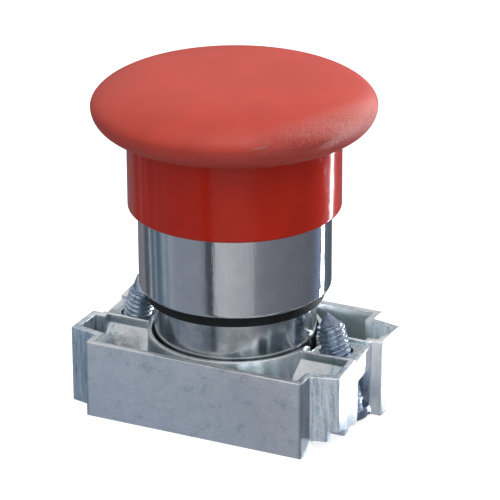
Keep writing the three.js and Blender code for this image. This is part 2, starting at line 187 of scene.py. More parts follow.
def turned(name, profile, facets=128, bulge=None):
    """A turned piece from a closed loop of [r, z] points.

    Point (i, j) is (r_i cos a_j, r_i sin a_j, z_i) with a_j evenly round the circle; bulge(angle, r, z)
    adds to the radius.
    """
    profile = np.asarray(profile, float)
    angle = np.arange(facets) / facets * TAU
    r = np.repeat(profile[:, :1], facets, 1)
    z = np.repeat(profile[:, 1:], facets, 1)
    a = np.repeat(angle[None], len(profile), 0)
    if bulge is not None:
        r = r + bulge(a, r, z)
    points = np.stack([r * np.cos(a), r * np.sin(a), z], -1)
    return surface(name, points, wrap_rows=True)


def turned_solid(name, profile, facets=128, bulge=None):
    """A turned piece with no bore: its profile runs from axis to axis, and its end rings are closed."""
    profile = np.asarray(profile, float)
    angle = np.arange(facets) / facets * TAU
    r = np.repeat(np.maximum(profile[:, :1], 0.02), facets, 1)
    z = np.repeat(profile[:, 1:], facets, 1)
    a = np.repeat(angle[None], len(profile), 0)
    if bulge is not None:
        r = r + bulge(a, r, z)
    points = np.stack([r * np.cos(a), r * np.sin(a), z], -1)
    return surface(name, points)


def wire(name, path, radius, sides=16):
    """Round wire along a path of points: at each point a circle of that radius stands square to the path.

    The circle's two axes are found from the path's direction and a fixed up vector.
    """
    path = np.asarray(path, float)
    along = np.gradient(path, axis=0)
    along /= np.linalg.norm(along, axis=1)[:, None]
    side = np.cross(along, [0, 0, 1.0])
    side /= np.linalg.norm(side, axis=1)[:, None]
    up = np.cross(side, along)
    a = np.arange(sides) / sides * TAU
    ring = side[:, None] * np.cos(a)[None, :, None] + up[:, None] * np.sin(a)[None, :, None]
    return surface(name, path[:, None] + radius * ring)


def finished(piece, node, body, material):
    """Puts a finished piece in a CAD node's place, on its body, with its finish."""
    piece.data.materials.clear()
    piece.data.materials.append(material)
    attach(piece, body)
    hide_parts(node)
    return piece


# ---------------------------------------------------------------- shader maths

class Value:
    """A socket. Arithmetic on it adds Math nodes to its tree."""

    def __init__(self, tree, socket):
        self.tree = tree
        self.socket = socket

    def math(self, operation, *others, first=False):
        """A Math node on this value and the others; first puts the other value in front."""
        args = [*others, self] if first else [self, *others]
        return self.tree.node("ShaderNodeMath", {"operation": operation}, dict(enumerate(args)))

    def __add__(self, other):
        return self.math("ADD", other)

    __radd__ = __add__

    def __sub__(self, other):
        return self.math("SUBTRACT", other)

    def __rsub__(self, other):
        return self.math("SUBTRACT", other, first=True)

    def __mul__(self, other):
        return self.math("MULTIPLY", other)

    __rmul__ = __mul__

    def __truediv__(self, other):
        return self.math("DIVIDE", other)

    def __pow__(self, other):
        return self.math("POWER", other)

    def clamp(self):
        """The value held between 0 and 1."""
        return self.math("MINIMUM", 1.0).math("MAXIMUM", 0.0)

    def ramp(self, low, high):
        """0 at low and 1 at high, smooth between them, and flat beyond; it falls where low is above high."""
        return self.tree.node("ShaderNodeMapRange", {"interpolation_type": "SMOOTHSTEP"},
                              {"Value": self, "From Min": low, "From Max": high})


class Tree:
    """A node tree, with one method that makes any node."""

    def __init__(self, tree):
        self.tree = tree
        tree.nodes.clear()

    def node(self, kind, settings=None, inputs=None, output=0):
        """Makes a node, sets its settings, then its sockets from values or links, and gives one output."""
        made = self.tree.nodes.new(kind)
        for key, value in (settings or {}).items():
            if key == "stops":
                self._stops(made.color_ramp, value)
            else:
                setattr(made, key, value)
        for key, value in (inputs or {}).items():
            if isinstance(value, Value):
                self.tree.links.new(value.socket, made.inputs[key])
            else:
                made.inputs[key].default_value = value
        return Value(self, made.outputs[output])

    @staticmethod
    def _stops(ramp, stops):
        """Sets a colour ramp's stops from (place, colour) pairs."""
        while len(ramp.elements) < len(stops):
            ramp.elements.new(0.5)
        for element, (place, colour) in zip(ramp.elements, stops):
            element.position = place
            element.color = (*colour, 1.0)

    def place(self, stretch=(1.0, 1.0, 1.0), turn=(0.0, 0.0, 0.0), shift=(0.0, 0.0, 0.0)):
        """The surface's own place in millimetres, stretched and turned for a pattern."""
        own = self.node("ShaderNodeTexCoord", output="Object")
        scale = tuple(1000.0 * s for s in stretch)
        return self.node("ShaderNodeMapping", None,
                         {"Vector": own, "Scale": scale, "Rotation": turn, "Location": shift})

    def noise(self, place, scale, detail=3.0, rough=0.5):
        """Cloudy noise from 0 to 1, with about that many lumps a millimetre."""
        return self.node("ShaderNodeTexNoise", None,
                         {"Vector": place, "Scale": scale, "Detail": detail, "Roughness": rough})

    def specks(self, place, scale, size):
        """Round specks: 1 at a cell's middle, 0 past that share of the cell."""
        near = self.node("ShaderNodeTexVoronoi", None, {"Vector": place, "Scale": scale})
        return 1.0 - near.ramp(size * 0.4, size)

    def mix(self, mask, colour_a, colour_b):
        """Colour a where the mask is 0, colour b where it is 1."""
        sides = [side if isinstance(side, Value) else (*side, 1.0) for side in (colour_a, colour_b)]
        inputs = {0: mask, 6: sides[0], 7: sides[1]}
        return self.node("ShaderNodeMix", {"data_type": "RGBA"}, inputs, output=2)

    def bump(self, height, depth, below=None):
        """A normal from a height between 0 and 1 and a depth in millimetres, on top of another normal."""
        inputs = {"Height": height, "Distance": depth * MM, "Strength": 1.0}
        if below is not None:
            inputs["Normal"] = below
        return self.node("ShaderNodeBump", None, inputs)

    def mark(self, middle, size, turn, slant=0.0):
        """A ragged streak: its middle, half length and half width, turned about Z and slanted upwards."""
        x, y, z = (self.coordinate(axis) - offset for axis, offset in zip("XYZ", middle))
        along = x * float(np.cos(turn)) + y * float(np.sin(turn))
        height = (z - along * slant) / size[1]
        length = along / size[0]
        ragged = self.noise(self.place(), 2.5, 3.0, 0.7)
        near = 1.0 - (x * x + y * y + z * z).ramp(size[0] ** 2, (1.5 * size[0]) ** 2)
        return (1.0 - (length * length + height * height + ragged * 0.8).ramp(0.9, 1.3)) * near

    def coordinate(self, axis):
        """X, Y or Z in millimetres."""
        return self.node("ShaderNodeSeparateXYZ", None, {"Vector": self.place()}, output=axis)


def finish_material(name, build, **sockets):
    """A Principled material; build(tree) gives what varies over the surface, sockets what doesn't."""
    material = bpy.data.materials.new(name)
    material.use_nodes = True
    tree = Tree(material.node_tree)
    varied = build(tree)
    fixed = {}
    for key, value in sockets.items():
        is_colour = isinstance(value, tuple) and len(value) == 3 and "Radius" not in key
        fixed[key] = (*value, 1.0) if is_colour else value
    shader = tree.node("ShaderNodeBsdfPrincipled", None, {**fixed, **varied}, output="BSDF")
    output = tree.tree.nodes.new("ShaderNodeOutputMaterial")
    tree.tree.links.new(shader.socket, output.inputs["Surface"])
    return material


def red_satin(tree):
    """Satin red moulding: a fine grain, faint clouds, dust specks, a rubbed edge with a painted sheen and
    painted glints on its lit side, and one old nick.
    """
    place = tree.place()
    clouds = tree.noise(place, 0.20, 4.0)
    grain = tree.noise(place, 5.0, 3.0, 0.6)
    fine = tree.noise(place, 14.0, 2.0)
    x, y, z = (tree.coordinate(axis) for axis in "XYZ")
    edge = (x * x + y * y).ramp(14.5 ** 2, 18.6 ** 2)
    # The side of the cap's edge that faces the strip light, where the sheen and glints are painted.
    side = ((x * 0.93 - y * 0.37) / CAP_R).ramp(0.74, 0.96)
    upper = z.ramp(CAP_FACE + 1.6, CAP_FACE + 3.2)
    chafe = tree.noise(tree.place((1.0, 1.0, 2.0)), 3.4, 5.0, 0.8).ramp(0.46, 0.58)
    # The rubbed edge: real chafe in the bump and roughness, plus a lighter colour painted as sheen where the
    # strip light falls.
    rub_and_sheen = (edge * side * upper * chafe).clamp()
    # Painted glints: light pink specks on the rubbed edge where the strip light's highlight falls.
    painted_glints = tree.noise(place, 6.5, 3.0, 0.8).ramp(0.50, 0.60) * rub_and_sheen
    dust = tree.specks(place, 0.62, 0.060) * tree.noise(place, 0.5, 1.0).ramp(0.48, 0.6)
    nick = tree.mark((11.3, -15.3, CAP_FACE + 3.8), (1.4, 0.20), np.radians(26), 0.14)
    base = tree.mix(clouds.ramp(0.3, 0.7), (0.50, 0.043, 0.024), (0.55, 0.050, 0.029))
    # Painted sheen, then painted glints, on the lit side of the rubbed edge.
    base = tree.mix(rub_and_sheen * 0.25, base, (0.62, 0.12, 0.09))
    base = tree.mix(painted_glints * 0.60, base, (0.84, 0.42, 0.37))
    base = tree.mix(dust * 0.55, base, (0.72, 0.26, 0.21))
    base = tree.mix(nick * 0.6, base, (0.70, 0.27, 0.22))
    normal = tree.bump(grain, 0.012)
    normal = tree.bump(fine, 0.006, normal)
    normal = tree.bump(rub_and_sheen * tree.noise(place, 5.0, 4.0, 0.8), 0.075, normal)
    normal = tree.bump(nick * fine, 0.20, normal)
    roughness = 0.40 + 0.10 * clouds - 0.13 * rub_and_sheen + 0.06 * grain
    return {"Base Color": base, "Roughness": roughness, "Normal": normal}


def red_gloss(tree):
    """Glossy deep red moulding with faint flow clouds and hair-fine upright marks."""
    place = tree.place()
    clouds = tree.noise(tree.place((1.0, 1.0, 0.5)), 0.16, 3.0)
    fine = tree.noise(place, 3.0, 2.0)
    marks = tree.noise(tree.place((2.2, 2.2, 0.25)), 2.2, 3.0, 0.7).ramp(0.60, 0.72)
    dust = tree.specks(place, 0.55, 0.05) * fine.ramp(0.45, 0.6)
    base = tree.mix(clouds.ramp(0.3, 0.7), (0.49, 0.019, 0.006), (0.56, 0.024, 0.008))
    base = tree.mix(dust * 0.5, base, (0.66, 0.24, 0.2))
    normal = tree.bump(clouds, 0.05)
    normal = tree.bump(fine, 0.0025, normal)
    normal = tree.bump(marks, 0.004, normal)
    roughness = 0.10 + 0.05 * fine + 0.06 * marks
    return {"Base Color": base, "Roughness": roughness, "Normal": normal}


def chrome_plate(tree):
    """Chrome plating: nearly a mirror, with upright polishing lines, fine pits and thin stains."""
    place = tree.place()
    lines = tree.noise(tree.place((7.0, 7.0, 0.5)), 1.0, 5.0, 0.7)
    stains = tree.noise(place, 0.35, 4.0, 0.6)
    streaks = tree.noise(tree.place((1.6, 1.6, 0.16)), 1.0, 4.0, 0.7)
    pits = tree.specks(place, 2.4, 0.11) * stains.ramp(0.42, 0.58)
    base = tree.mix(stains.ramp(0.3, 0.75), (0.535, 0.55, 0.575), (0.60, 0.61, 0.625))
    base = tree.mix(streaks.ramp(0.56, 0.70) * 0.30, base, (0.74, 0.75, 0.76))
    base = tree.mix(pits * 0.45, base, (0.27, 0.285, 0.31))
    roughness = 0.030 + 0.04 * stains + 0.08 * lines.ramp(0.52, 0.72) + 0.15 * pits
    peel = tree.noise(tree.place((1.0, 1.0, 1.8)), 1.7, 4.0, 0.7)
    normal = tree.bump(lines, 0.0022)
    normal = tree.bump(peel, 0.0035, normal)
    normal = tree.bump(streaks, 0.012, normal)
    normal = tree.bump(stains, 0.008, normal)
    return {"Base Color": base, "Roughness": roughness, "Normal": normal}


TAB_START = 16.2  # where the tabs leave the collar's wide middle, in x
SIDE_WALL = 13.5  # the collar's long outer walls, in y
BLOCK_END = 18.9  # the screw blocks' end faces, in x
BLOCK_FOOT = 5.8  # half width of a screw block's foot, in y


def cast_zinc(tree):
    """Die-cast zinc: soft clouds, fine bright speckle and bluish streaks on the tabs, with painted shade in
    each pocket, in the corners, on a strip just below the blocks' top faces and on the left block, and
    painted highlights on the blocks' top and end faces.
    """
    place = tree.place()
    x, y, z = (tree.coordinate(axis) for axis in "XYZ")
    clouds = tree.noise(place, 0.16, 5.0, 0.6)
    blotch = tree.noise(tree.place(shift=(8.1, 2.2, 4.7)), 0.55, 5.0, 0.66)
    grain = tree.noise(place, 3.4, 5.0, 0.75)
    sparkle = tree.noise(tree.place(shift=(3.7, 1.3, 5.1)), 5.2, 3.0, 0.8)
    runs = tree.noise(tree.place((2.0, 1.4, 0.22)), 1.0, 5.0, 0.7)
    ends = (x * x).ramp((TAB_START - 0.3) ** 2, (TAB_START + 0.4) ** 2)
    # Painted shade in the corners where the tabs leave the wide middle at the long outer walls.
    corners = (x * x).ramp((TAB_START - 0.5) ** 2, (TAB_START - 0.1) ** 2)
    corners = corners * (y * y).ramp((SIDE_WALL - 0.55) ** 2, (SIDE_WALL - 0.2) ** 2)
    inside = (x * x).ramp((TAB_START + 0.8) ** 2, (TAB_START - 1.7) ** 2)
    inside = inside * (y * y).ramp((SIDE_WALL - 0.3) ** 2, (SIDE_WALL - 0.7) ** 2)
    # Painted shade: each pocket between the long walls and the screw blocks, below the rim.
    pocket_shade = inside * (y * y).ramp((BLOCK_FOOT - 0.2) ** 2, (BLOCK_FOOT + 1.7) ** 2)
    pocket_shade = pocket_shade * z.ramp(COLLAR_TOP - 0.2, COLLAR_TOP - 1.0)
    blocks = (x * x).ramp(11.8 ** 2, 12.6 ** 2)
    blocks = blocks * (y * y).ramp((BLOCK_FOOT + 0.2) ** 2, (BLOCK_FOOT - 0.2) ** 2)
    # Painted highlight: the screw blocks' top faces, made near white.
    lit_tops = blocks * z.ramp(COLLAR_TOP - 0.25, COLLAR_TOP - 0.1)
    # Painted shade on a strip just below each block's top face, short of its end.
    shaded_strips = blocks * z.ramp(COLLAR_TOP - 1.35, COLLAR_TOP - 1.1)
    shaded_strips = shaded_strips * z.ramp(COLLAR_TOP - 0.1, COLLAR_TOP - 0.4)
    shaded_strips = shaded_strips * (x * x).ramp((BLOCK_END - 0.5) ** 2, (BLOCK_END - 0.9) ** 2)
    # Painted highlight: the blocks' end faces, made near white.
    bright = (x * x).ramp((BLOCK_END - 0.2) ** 2, (BLOCK_END + 0.1) ** 2) * (y * y).ramp(4.2 ** 2, 3.8 ** 2)
    # Painted shade in blotchy patches on the left screw block, below its top.
    left_flank_shade = blocks * z.ramp(COLLAR_TOP - 1.2, COLLAR_TOP - 3.0) * x.ramp(-9.0, -13.0)
    left_flank_shade = left_flank_shade * blotch.ramp(0.62, 0.46)
    base = tree.mix(clouds.ramp(0.34, 0.66), (0.70, 0.755, 0.79), (0.785, 0.81, 0.85))
    base = tree.mix(blotch.ramp(0.50, 0.68) * 0.7, base, (0.84, 0.855, 0.87))
    base = tree.mix(blotch.ramp(0.46, 0.30) * 0.6, base, (0.47, 0.54, 0.57))
    base = tree.mix(ends * 0.45, base, (0.56, 0.67, 0.78))
    base = tree.mix(ends * runs.ramp(0.52, 0.40) * 0.8, base, (0.30, 0.42, 0.54))
    base = tree.mix(ends * runs.ramp(0.55, 0.62) * 0.7, base, (0.93, 0.95, 0.96))
    # Painted highlight on the blocks' top faces.
    base = tree.mix(lit_tops * 0.85, base, (0.93, 0.975, 0.99))
    # Painted highlight on the blocks' end faces.
    base = tree.mix(bright * 0.7, base, (0.96, 0.98, 0.985))
    # Painted shade on that strip.
    base = tree.mix(shaded_strips * 0.6, base, (0.33, 0.41, 0.42))
    # Painted shade on the left block.
    base = tree.mix(left_flank_shade * 0.6, base, (0.30, 0.34, 0.36))
    base = tree.mix(sparkle.ramp(0.53, 0.64) * 0.7, base, (0.98, 0.985, 0.99))
    base = tree.mix(grain.ramp(0.44, 0.34) * 0.45, base, (0.33, 0.37, 0.40))
    # Painted shade in each pocket.
    base = tree.mix(pocket_shade * 0.62, base, (0.25, 0.33, 0.34))
    # Painted shade in those corners.
    base = tree.mix(corners * 0.6, base, (0.22, 0.25, 0.27))
    roughness = 0.20 + 0.13 * blotch + 0.14 * grain
    normal = tree.bump(clouds, 0.06)
    normal = tree.bump(blotch, 0.050, normal)
    normal = tree.bump(runs * ends, 0.030, normal)
    normal = tree.bump(grain, 0.020, normal)
    return {"Base Color": base, "Roughness": roughness, "Normal": normal}


def bare_barrel(tree):
    """The barrel's thinner plating: dull, stained grey-green, with lengthwise marks from fitting."""
    place = tree.place()
    stains = tree.noise(place, 0.30, 5.0, 0.62)
    fine = tree.noise(place, 2.6, 4.0, 0.7)
    scuffs = tree.noise(tree.place((4.0, 4.0, 0.7)), 1.0, 4.0, 0.7)
    base = tree.mix(stains.ramp(0.35, 0.66), (0.29, 0.33, 0.35), (0.52, 0.54, 0.56))
    base = tree.mix(scuffs.ramp(0.58, 0.74) * 0.4, base, (0.70, 0.72, 0.73))
    roughness = 0.085 + 0.10 * stains + 0.08 * fine
    normal = tree.bump(stains, 0.03)
    normal = tree.bump(fine, 0.0035, normal)
    return {"Base Color": base, "Roughness": roughness, "Normal": normal}


def screw_zinc(tree):
    """Bright blue zinc plate: small crystals of tone and a light grain."""
    place = tree.place()
    tone = tree.noise(place, 0.9, 4.0, 0.6)
    grain = tree.noise(place, 6.0, 3.0, 0.6)
    base = tree.mix(tone.ramp(0.35, 0.65), (0.24, 0.31, 0.42), (0.50, 0.59, 0.70))
    base = tree.mix(grain.ramp(0.55, 0.7) * 0.5, base, (0.75, 0.79, 0.82))
    roughness = 0.22 + 0.16 * grain
    return {"Base Color": base, "Roughness": roughness, "Normal": tree.bump(grain, 0.008)}


def spring_steel(tree):
    """Drawn wire steel with a thin film of oil."""
    place = tree.place()
    tone = tree.noise(place, 0.8, 3.0)
    drawn = tree.noise(tree.place((3.0, 3.0, 0.6)), 3.0, 3.0, 0.6)
    base = tree.mix(tone.ramp(0.3, 0.7), (0.36, 0.37, 0.39), (0.50, 0.51, 0.52))
    return {"Base Color": base, "Roughness": 0.22 + 0.16 * drawn, "Normal": tree.bump(drawn, 0.004)}


def turned_brass(tree):
    """Turned brass with tool lines round it and slight tarnish."""
    tarnish = tree.noise(tree.place(), 0.5, 4.0)
    lines = tree.noise(tree.place((0.4, 0.4, 9.0)), 1.0, 2.0)
    base = tree.mix(tarnish.ramp(0.35, 0.7), (0.62, 0.43, 0.14), (0.46, 0.30, 0.11))
    return {"Base Color": base, "Roughness": 0.22 + 0.2 * tarnish, "Normal": tree.bump(lines, 0.006)}


def black_rubber(tree):
    """Matt black rubber with a dusty bloom and a fine moulded grain."""
    place = tree.place()
    bloom = tree.noise(place, 0.5, 4.0, 0.6)
    grain = tree.noise(place, 7.0, 3.0, 0.6)
    base = tree.mix(bloom.ramp(0.4, 0.8), (0.006, 0.006, 0.007), (0.016, 0.0165, 0.018))
    return {"Base Color": base, "Roughness": 0.55 + 0.2 * grain, "Normal": tree.bump(grain, 0.012)}


def black_plastic(tree):
    """Moulded black polyamide with a light spark texture."""
    place = tree.place()
    grain = tree.noise(place, 5.0, 3.0, 0.6)
    tone = tree.noise(place, 0.4, 3.0)
    base = tree.mix(tone.ramp(0.3, 0.7), (0.018, 0.019, 0.021), (0.030, 0.031, 0.034))
    return {"Base Color": base, "Roughness": 0.40 + 0.18 * grain, "Normal": tree.bump(grain, 0.010)}


def natural_acetal(tree):
    """Off-white acetal, slightly waxy."""
    place = tree.place()
    tone = tree.noise(place, 0.3, 3.0)
    grain = tree.noise(place, 4.0, 3.0)
    base = tree.mix(tone.ramp(0.3, 0.7), (0.66, 0.65, 0.59), (0.74, 0.73, 0.68))
    return {"Base Color": base, "Roughness": 0.34 + 0.12 * grain, "Normal": tree.bump(grain, 0.005)}


METAL = {"Metallic": 1.0}
PLASTIC = {"IOR": 1.49}
GLOSSY = {"IOR": 1.45, "Specular IOR Level": 0.3}
RUBBER = {"IOR": 1.5, "Specular IOR Level": 0.3}
FINISHES = {
    "red_satin": finish_material("red_satin", red_satin, **PLASTIC),
    "red_gloss": finish_material("red_gloss", red_gloss, **GLOSSY),
    "chrome_plate": finish_material("chrome_plate", chrome_plate, **METAL),
    "cast_zinc": finish_material("cast_zinc", cast_zinc, **METAL),
    "screw_zinc": finish_material("screw_zinc", screw_zinc, **METAL),
    "spring_steel": finish_material("spring_steel", spring_steel, **METAL),
    "brass": finish_material("brass", turned_brass, **METAL),
    "black_rubber": finish_material("black_rubber", black_rubber, **RUBBER),
    "black_plastic": finish_material("black_plastic", black_plastic, **PLASTIC),
    "white_plastic": finish_material("white_plastic", natural_acetal, **PLASTIC),
}


# ---------------------------------------------------------------- what every CAD node is

NODE_SLOT = {entry["node"]: entry["material_slot"] for entry in frame["record"]["subparts"]}
NODE_BODY = {node: body for body, nodes in frame["record"]["behaviour"]["bodies"].items() for node in nodes}

for node, cad in frame["nodes"].items():
    cad.data.materials.clear()
    cad.data.materials.append(FINISHES[NODE_SLOT[node]])


def stands_for(piece, node):
    """Puts a finished piece in a CAD node's place with that node's own body and finish."""
    return finished(piece, node, NODE_BODY[node], FINISHES[NODE_SLOT[node]])


# ---------------------------------------------------------------- red head

def cap_profile():
    """The mushroom from apex to lower face, then its hollow and boss.

    Crown: r = R cos(t)^0.55, z = edge + rise sin(t)^1.12 for t from 90 to 0 degrees. Edge: a quarter
    ellipse that turns in by the roll and down to the lower face.
    """
    edge = CAP_FACE + CAP_EDGE
    t = np.linspace(np.pi / 2, 0, 72) ** 1.0
    crown = np.stack([CAP_R * np.cos(t).clip(0) ** 0.55, edge + (CAP_TOP - edge) * np.sin(t) ** 1.12], -1)
    s = np.linspace(0, np.pi / 2, 26)[1:]
    roll = np.stack([CAP_R - CAP_ROLL * (1 - np.cos(s)), edge - CAP_EDGE * np.sin(s)], -1)
    under = rounded([
        (CAP_R - CAP_ROLL, CAP_FACE), (HOLLOW_R, CAP_FACE, 0.3), (HOLLOW_R, HOLLOW_TOP, 0.8),
        (BOSS_R, HOLLOW_TOP, 0.6), (BOSS_R, BOSS_Z, 0.3), (INSERT_R + 0.05, BOSS_Z, 0.2),
        (INSERT_R + 0.05, INSERT_TOP + 0.2, 0.0), (0.0, INSERT_TOP + 0.2),
    ])[1:]
    return np.vstack([crown, roll, under])


stands_for(turned_solid("cap_shell", cap_profile(), 256), "mushroom_cap")


def skirt_profile():
    """The skirt: a thin tube with a rounded lower lip and a flange under the cap."""
    wall = 0.9
    inside = SKIRT_R - wall
    top = CAP_FACE + 0.02
    return rounded([
        (inside, SKIRT_Z, 0.25), (SKIRT_R, SKIRT_Z, 0.42), (SKIRT_R, top, 0.0),
        (HOLLOW_R - 1.0, top, 0.0), (HOLLOW_R - 1.0, top - 1.2, 0.2), (inside, top - 1.2, 0.3),
    ], 6)


stands_for(turned("skirt_shell", skirt_profile(), 256), "skirt_sleeve")


# ---------------------------------------------------------------- bezel, gasket and barrel

def bezel_profile():
    """The bezel ring with its rounded lower edge and a softened upper one."""
    bore = BARREL_R + 0.05
    return rounded([
        (bore, BEZEL_Z, 0.1), (BEZEL_R, BEZEL_Z, 0.65), (BEZEL_R, BEZEL_TOP, 0.5), (bore, BEZEL_TOP, 0.2),
    ], 8)


stands_for(turned("bezel_shell", bezel_profile(), 256), "bezel_ring")


def gasket_profile():
    """The gasket: a flat ring with two shallow beads pressed into its lower face."""
    bore = BARREL_R + 0.06
    top = BEZEL_Z + 0.02
    return rounded([
        (bore, GASKET_Z, 0.1), (bore + 0.35, GASKET_Z, 0.1), (bore + 0.5, GASKET_Z + 0.15, 0.1),
        (GASKET_R - 0.5, GASKET_Z + 0.15, 0.1), (GASKET_R - 0.35, GASKET_Z, 0.1), (GASKET_R, GASKET_Z, 0.3),
        (GASKET_R, top, 0.25), (bore, top, 0.1),
    ], 5)


stands_for(turned("gasket_ring", gasket_profile(), 256), "panel_gasket")

BARREL_BORE = BARREL_R - 1.25
WEB_LOW, WEB_HIGH = 15.4, 17.4
WEB_HOLE = 5.2
LUG_REACH, LUG_HIGH = 1.0, 1.5
LUG_HALF = np.radians(7)
LUG_AT = np.radians(-45)


def barrel_profile():
    """The barrel's wall, its inner web and the two heights where a bayonet lug begins and ends."""
    lug_top = BARREL_Z + LUG_HIGH
    return rounded([
        (BARREL_BORE, BARREL_Z, 0.15), (BARREL_R, BARREL_Z, 0.12), (BARREL_R, lug_top),
        (BARREL_R, lug_top + 0.004),
        (BARREL_R, BARREL_TOP, 0.15), (BARREL_BORE, BARREL_TOP, 0.2), (BARREL_BORE, WEB_HIGH, 0.2),
        (WEB_HOLE, WEB_HIGH, 0.15), (WEB_HOLE, WEB_LOW, 0.15), (BARREL_BORE, WEB_LOW, 0.3),
    ])


def lugs(angle, r, z):
    """Two opposite lugs: the outside stands out by the lug's reach within its angle, over its height."""
    off = np.abs((angle - LUG_AT + np.pi / 2) % np.pi - np.pi / 2)
    within = (off < LUG_HALF) & (z < BARREL_Z + LUG_HIGH + 0.002) & (r > BARREL_R - 0.2)
    return np.where(within, LUG_REACH, 0.0)


BARREL_FINISH = finish_material("bare_barrel", bare_barrel, **METAL)
barrel_shell = turned("barrel_shell", barrel_profile(), 320, lugs)
finished(barrel_shell, "barrel", "head", BARREL_FINISH)


# ------------------------------------------------------------ cast and moulded pieces with softened edges

def applied(piece):
    """Puts the result of a piece's modifiers into its mesh."""
    solved = piece.evaluated_get(bpy.context.evaluated_depsgraph_get())
    mesh = bpy.data.meshes.new_from_object(solved)
    piece.modifiers.clear()
    piece.data = mesh
    return piece


def softened(name, node, width, angle=30.0):
    """A merged copy of a CAD node's mesh whose hard edges are rounded by a width in millimetres.

    Level faces with many corners are split into triangles first, because the bevel tangles them whole.
    """
    mesh = frame["nodes"][node].data.copy()
    mesh.name = name
    bm = bmesh.new()
    bm.from_mesh(mesh)
    bmesh.ops.remove_doubles(bm, verts=bm.verts, dist=2e-6)
    bmesh.ops.dissolve_limit(bm, angle_limit=np.radians(0.6), verts=bm.verts, edges=bm.edges)
    level = [face for face in bm.faces if len(face.verts) > 4 and abs(face.normal.z) > 0.99]
    bmesh.ops.triangulate(bm, faces=level)
    bm.to_mesh(mesh)
    bm.free()
    piece = bpy.data.objects.new(name, mesh)
    bpy.context.scene.collection.objects.link(piece)
    bevel = piece.modifiers.new("rounding", "BEVEL")
    bevel.width = width * MM
    bevel.segments = 2
    bevel.limit_method = "ANGLE"
    bevel.angle_limit = np.radians(angle)
    bevel.use_clamp_overlap = False
    bevel.miter_outer = "MITER_ARC"
    bpy.context.view_layer.update()
    return sharpen(applied(piece), 40.0)


stands_for(softened("collar_casting", "mounting_collar", 0.10), "mounting_collar")
stands_for(softened("latch_carrier", "latch_housing", 0.12), "latch_housing")
stands_for(softened("retaining_clip", "foot_clip", 0.06), "foot_clip")


# ---------------------------------------------------------------- clamp screws

SCREW_TILT = np.radians(15)  # heads lean outwards
SCREW_X, SCREW_Z = 15.2, 10.4  # a point on the right screw's axis
THREAD_CREST, THREAD_ROOT, THREAD_PITCH = 1.98, 1.70, 0.7
HEAD_FACE, HEAD_SEAT = -9.95, -8.45  # along the axis from that point
HEAD_R = 2.7
TIP, TIP_LENGTH, TIP_LEAN = 5.9, 2.2, 1.3


def thread(angle, z, pitch, root, crest):
    """Radius of a single-start thread: flat root and crest joined by straight flanks, once a pitch."""
    phase = (z / pitch - angle / TAU) % 1.0
    wave = 1 - np.abs(2 * phase - 1)
    return root + (crest - root) * np.clip((wave - 0.18) / 0.58, 0, 1)


def clamp_screw(name, side, tip_turn):
    """A slotted pan head, a threaded shank and a six-sided leaning point, as rings from the head to the tip.

    A ring of the shank has the thread's radius, faded in and out at its ends. A ring of the point is a
    hexagon that shrinks evenly while its middle moves off by the lean. The whole is tilted about Y.
    """
    columns = 48
    angle = np.arange(columns) / columns * TAU
    head = rounded([
        (0.0, HEAD_FACE), (HEAD_R, HEAD_FACE, 0.75), (HEAD_R, HEAD_SEAT, 0.12),
        (THREAD_ROOT, HEAD_SEAT, 0.1),
        (THREAD_ROOT, HEAD_SEAT + 0.2),
    ], 6)
    head[0, 0] = 0.15
    a = np.repeat(angle[None], len(head), 0)
    head_rings = np.stack([head[:, :1] * np.cos(a), head[:, :1] * np.sin(a), head[:, 1:] + 0 * a], -1)
    start, end = HEAD_SEAT + 0.3, TIP - TIP_LENGTH
    z = np.arange(start, end, THREAD_PITCH / 14)[:, None]
    fade = np.clip((z - start) / 0.6, 0, 1) * np.clip((end - z) / 0.5, 0, 1)
    a = np.repeat(angle[None], len(z), 0)
    r = THREAD_ROOT + fade * (thread(a, z, THREAD_PITCH, THREAD_ROOT, THREAD_CREST) - THREAD_ROOT)
    shank = np.stack([r * np.cos(a), r * np.sin(a), z + 0 * a], -1)
    s = np.array([0.0, 0.03, 0.25, 0.5, 0.75, 0.97, 1.0])[:, None]
    sixth = TAU / 6
    hexagon = np.cos(sixth / 2) / np.cos((angle - 0.18) % sixth - sixth / 2)
    r = (1 - s) * (THREAD_ROOT - 0.12) * hexagon + 0.07
    r[0] = THREAD_ROOT
    x = r * np.cos(angle) + TIP_LEAN * s * np.cos(tip_turn)
    y = r * np.sin(angle) + TIP_LEAN * s * np.sin(tip_turn)
    point = np.stack([x, y, end + TIP_LENGTH * s + 0 * angle], -1)
    piece = surface(name, np.concatenate([head_rings, shank, point]))
    cut_slot(piece)
    tilt = -side * SCREW_TILT
    v = np.empty(len(piece.data.vertices) * 3)
    piece.data.vertices.foreach_get("co", v)
    v = v.reshape(-1, 3) / MM
    turned_x = v[:, 0] * np.cos(tilt) + v[:, 2] * np.sin(tilt) + side * SCREW_X
    turned_z = v[:, 2] * np.cos(tilt) - v[:, 0] * np.sin(tilt) + SCREW_Z
    piece.data.vertices.foreach_set("co", (np.stack([turned_x, v[:, 1], turned_z], -1) * MM).ravel())
    piece.data.update()
    return sharpen(piece, 32.0)


def cut_slot(piece):
    """Cuts the screwdriver slot across the head, 0.9 wide and 0.7 deep."""
    bpy.ops.mesh.primitive_cube_add(size=1.0)
    cutter = bpy.context.object
    cutter.scale = (8 * MM, 0.9 * MM, 1.4 * MM)
    cutter.location = (0, 0, HEAD_FACE * MM)
    slot = piece.modifiers.new("slot", "BOOLEAN")
    slot.operation = "DIFFERENCE"
    slot.object = cutter
    slot.solver = "EXACT"
    bpy.context.view_layer.update()
    applied(piece)
    bpy.data.objects.remove(cutter)


stands_for(clamp_screw("right_clamp_screw", 1, np.radians(-60)), "clamp_screw_right")
stands_for(clamp_screw("left_clamp_screw", -1, np.radians(206)), "clamp_screw_left")


# ---------------------------------------------------------------- springs

COIL_WIRE = 0.55
COIL_R = SPRING_R - COIL_WIRE
DEAD_TURNS, LIVE_TURNS = 1.0, 6.0


